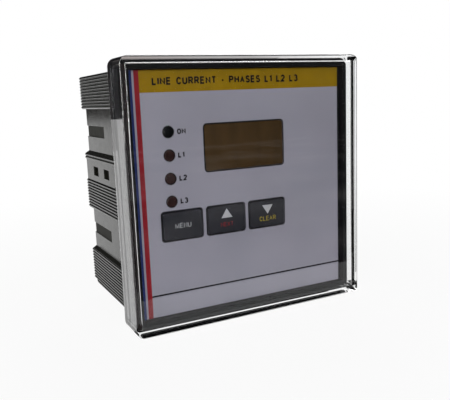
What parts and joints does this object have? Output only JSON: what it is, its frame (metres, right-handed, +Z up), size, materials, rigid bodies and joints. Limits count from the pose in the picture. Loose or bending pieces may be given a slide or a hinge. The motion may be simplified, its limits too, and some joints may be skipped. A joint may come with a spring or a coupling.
{
  "type": "protection relay",
  "caption": "Square flush panel protection relay: clear push-on cover, printed front with display, lamps and keys, ribbed housing, rear screw terminals.",
  "frame": {"origin": "middle of the footprint, on the level of the clear cover's lower edge", "axes": "+Z up, front faces -Y, +Y into the panel, +X to the right seen from the front"},
  "size_m": [0.096, 0.0776, 0.096],
  "materials": {
    "clear_plastic": "clear gloss",
    "bezel_plastic": "fine satin",
    "fascia_plastic": "satin",
    "label_print": "printed film",
    "smoked_window": "smoked gloss",
    "green_lens": "tinted lens",
    "red_lens": "tinted lens",
    "key_plastic": "satin",
    "black_plastic": "moulded",
    "circuit_board": "solder mask",
    "steel": "zinc plated",
    "ct_case": "potted case",
    "copper": "bare copper",
    "core_steel": "laminated",
    "coil_tape": "taped winding",
    "capacitor_sleeve": "sleeved",
    "varistor_coat": "epoxy coat",
    "relay_case": "moulded case",
    "terminal_plastic": "moulded",
    "brass": "nickel free brass",
    "rear_plastic": "moulded",
    "housing_plastic": "moulded, semi-gloss"
  },
  "bodies": {
    "case": {"front_bezel": "bezel_plastic", "fascia_plate": "fascia_plastic", "front_label": "label_print", "display_window": "smoked_window", "led_on": "green_lens", "led_l1": "red_lens", "led_l2": "red_lens", "led_l3": "red_lens", "switch_mode": "black_plastic", "switch_up": "black_plastic", "switch_down": "black_plastic", "display_module": "black_plastic", "display_board": "circuit_board", "main_board": "circuit_board", "terminal_board": "circuit_board", "board_spacers": "steel", "main_board_screws": "steel", "terminal_board_screws": "steel", "front_header": "black_plastic", "rear_header": "black_plastic", "processor": "black_plastic", "crystal": "steel", "memory_chip": "black_plastic", "ct_l1": "ct_case", "ct_l2": "ct_case", "ct_l3": "ct_case", "ct_primary_links": "copper", "transformer_core": "core_steel", "transformer_coil": "coil_tape", "bridge_rectifier": "black_plastic", "filter_capacitors": "capacitor_sleeve", "voltage_regulator": "black_plastic", "varistor": "varistor_coat", "trip_relay": "relay_case", "alarm_relay": "relay_case", "terminal_block_upper": "terminal_plastic", "terminal_block_lower": "terminal_plastic", "terminal_screws": "steel", "terminal_clamps": "brass", "rear_cover": "rear_plastic", "housing": "housing_plastic"},
    "cover": {"clear_cover": "clear_plastic"},
    "mode_key": {"key_mode": "key_plastic", "plunger_mode": "black_plastic"},
    "up_key": {"key_up": "key_plastic", "plunger_up": "black_plastic"},
    "down_key": {"key_down": "key_plastic", "plunger_down": "black_plastic"}
  },
  "joints": [
    {"name": "cover_lift", "type": "slide", "parent": "case", "child": "cover", "axis": [0, -1, 0], "range_m": [0, 0.03]},
    {"name": "mode_press", "type": "slide", "parent": "case", "child": "mode_key", "axis": [0, 1, 0], "range_m": [0, 0.0006], "stiffness_N_per_m": 2500},
    {"name": "up_press", "type": "slide", "parent": "case", "child": "up_key", "axis": [0, 1, 0], "range_m": [0, 0.0006], "stiffness_N_per_m": 2500},
    {"name": "down_press", "type": "slide", "parent": "case", "child": "down_key", "axis": [0, 1, 0], "range_m": [0, 0.0006], "stiffness_N_per_m": 2500}
  ]
}
